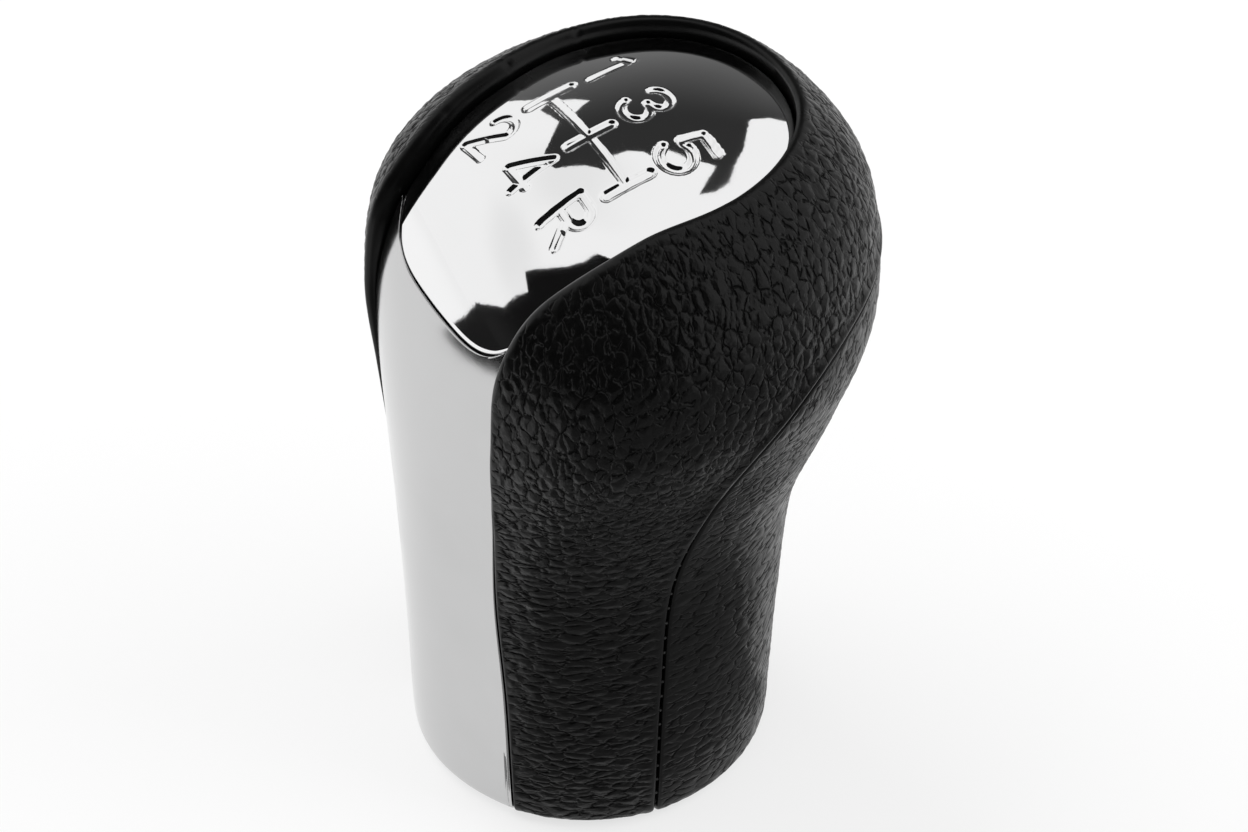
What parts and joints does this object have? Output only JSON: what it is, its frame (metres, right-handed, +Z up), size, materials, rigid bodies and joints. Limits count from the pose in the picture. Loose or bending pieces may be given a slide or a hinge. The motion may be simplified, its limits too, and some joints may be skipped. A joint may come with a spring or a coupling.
{
  "type": "gear shift knob",
  "caption": "Leather-covered gear shift knob with a bright spine, a domed shift-pattern plate and a threaded insert for the lever.",
  "frame": {"origin": "centre of the lever's hole on the flat face under the foot, where the knob rests", "axes": "+Z up along the lever's thread; +Y towards the front, the way the head leans; the spine faces -Y; +X to the driver's right"},
  "size_m": [0.0522, 0.0496, 0.0791],
  "materials": {
    "core_plastic": "moulded, matt",
    "insert_metal": "knurled and turned",
    "ring_plastic": "moulded, matt",
    "spine_chrome": "satin",
    "plate_chrome": "polished",
    "wrap_leather": "grained, semi-matt",
    "front_leather": "grained, semi-matt"
  },
  "bodies": {
    "root": {"grip_core": "core_plastic", "thread_insert": "insert_metal", "closing_ring": "ring_plastic", "spine_trim": "spine_chrome", "shift_plate": "plate_chrome", "leather_wrap": "wrap_leather", "leather_front": "front_leather"}
  },
  "joints": []
}
